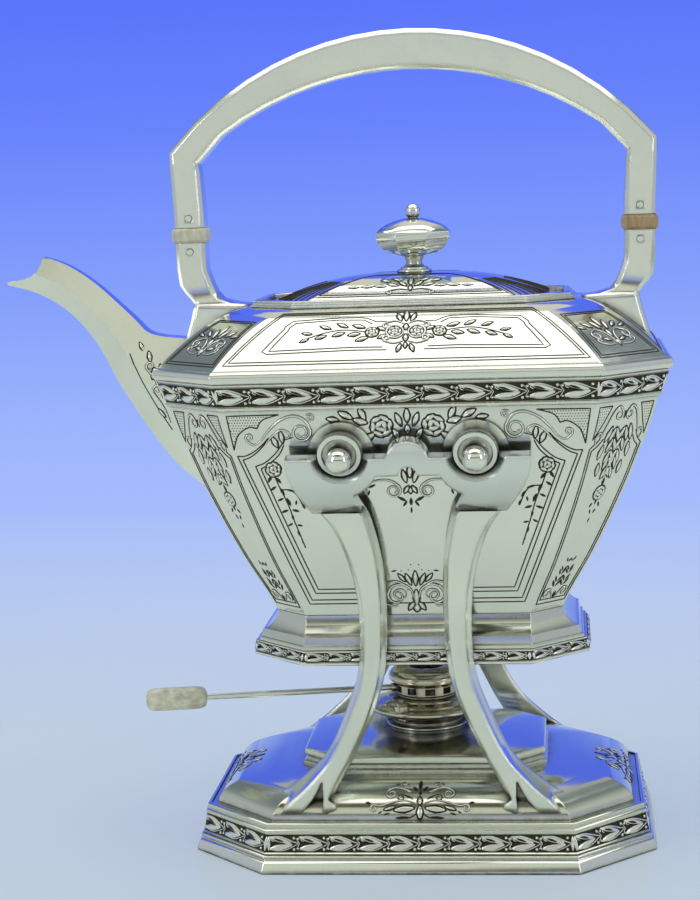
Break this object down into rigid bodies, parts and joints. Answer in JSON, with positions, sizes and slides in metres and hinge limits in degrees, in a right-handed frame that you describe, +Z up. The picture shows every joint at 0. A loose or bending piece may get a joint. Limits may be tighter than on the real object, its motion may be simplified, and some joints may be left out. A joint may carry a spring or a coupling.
{
  "type": "spirit kettle on stand",
  "caption": "Faceted silver kettle with hinged lid, spout and fixed arched handle, rocking in the notches of a legged stand over a lift-out spirit lamp with a lever-turned burner.",
  "frame": {"origin": "centre of the base's underside, on the table", "axes": "+Z up; the spout points along -X; the front with the rear-hinged lid's free edge faces -Y"},
  "size_m": [0.2805, 0.1618, 0.3406],
  "materials": {
    "silver": "polished silver with dark patina in the recesses",
    "dark_silver": "dull silver pins",
    "pale_bone": "pale ivory-like insulator",
    "old_bone": "aged brown insulator",
    "cotton": "plaited cotton wick"
  },
  "bodies": {
    "stand": {"base_foot_moulding": "silver", "base_leaf_band": "silver", "base_dome": "silver", "lamp_socket": "silver", "leg_front_left": "silver", "leg_front_right": "silver", "leg_back_left": "silver", "leg_back_right": "silver", "cradle_front": "silver", "cradle_back": "silver"},
    "kettle": {"kettle_body": "silver", "kettle_shoulder": "silver", "rim_leaf_band": "silver", "rim_bead": "silver", "kettle_foot": "silver", "foot_leaf_band": "silver", "spout": "silver", "spout_strainer": "silver", "trunnion_front_left": "silver", "trunnion_front_right": "silver", "trunnion_back_left": "silver", "trunnion_back_right": "silver", "handle_bracket_left": "silver", "handle_bracket_right": "silver", "insulator_left": "pale_bone", "insulator_right": "old_bone", "handle_arch": "silver", "insulator_pins": "dark_silver", "lid_ring": "silver", "hinge_knuckles": "silver", "hinge_pin": "dark_silver"},
    "lid": {"lid_dome": "silver", "lid_skirt": "silver", "lid_knuckle": "silver", "finial_stem": "silver", "finial_urn": "silver", "finial_ball": "silver", "finial_nut": "dark_silver"},
    "lamp": {"lamp_font": "silver", "burner_gallery": "silver", "wick_tube": "silver", "wick": "cotton"},
    "regulator": {"regulator_dome": "silver", "lever_rod": "silver", "lever_grip": "pale_bone"},
    "filler": {"filler_cap": "silver"}
  },
  "joints": [
    {"name": "kettle_tip", "type": "hinge", "parent": "stand", "child": "kettle", "pos_m": [-0.0268, 0, 0.172], "axis": [0, -1, 0], "range_deg": [0, 40]},
    {"name": "lid_hinge", "type": "hinge", "parent": "kettle", "child": "lid", "pos_m": [0, 0.0425, 0.2312], "axis": [-1, 0, 0], "range_deg": [0, 100]},
    {"name": "lamp_lift", "type": "slide", "parent": "stand", "child": "lamp", "axis": [0, 0, 1], "range_m": [0, 0.0028]},
    {"name": "regulator_turn", "type": "hinge", "parent": "lamp", "child": "regulator", "pos_m": [0, 0, 0.061], "axis": [0, 0, 1], "range_deg": [-50, 30]},
    {"name": "filler_pull", "type": "slide", "parent": "lamp", "child": "filler", "axis": [0, 0, 1], "range_m": [0, 0.006]}
  ]
}
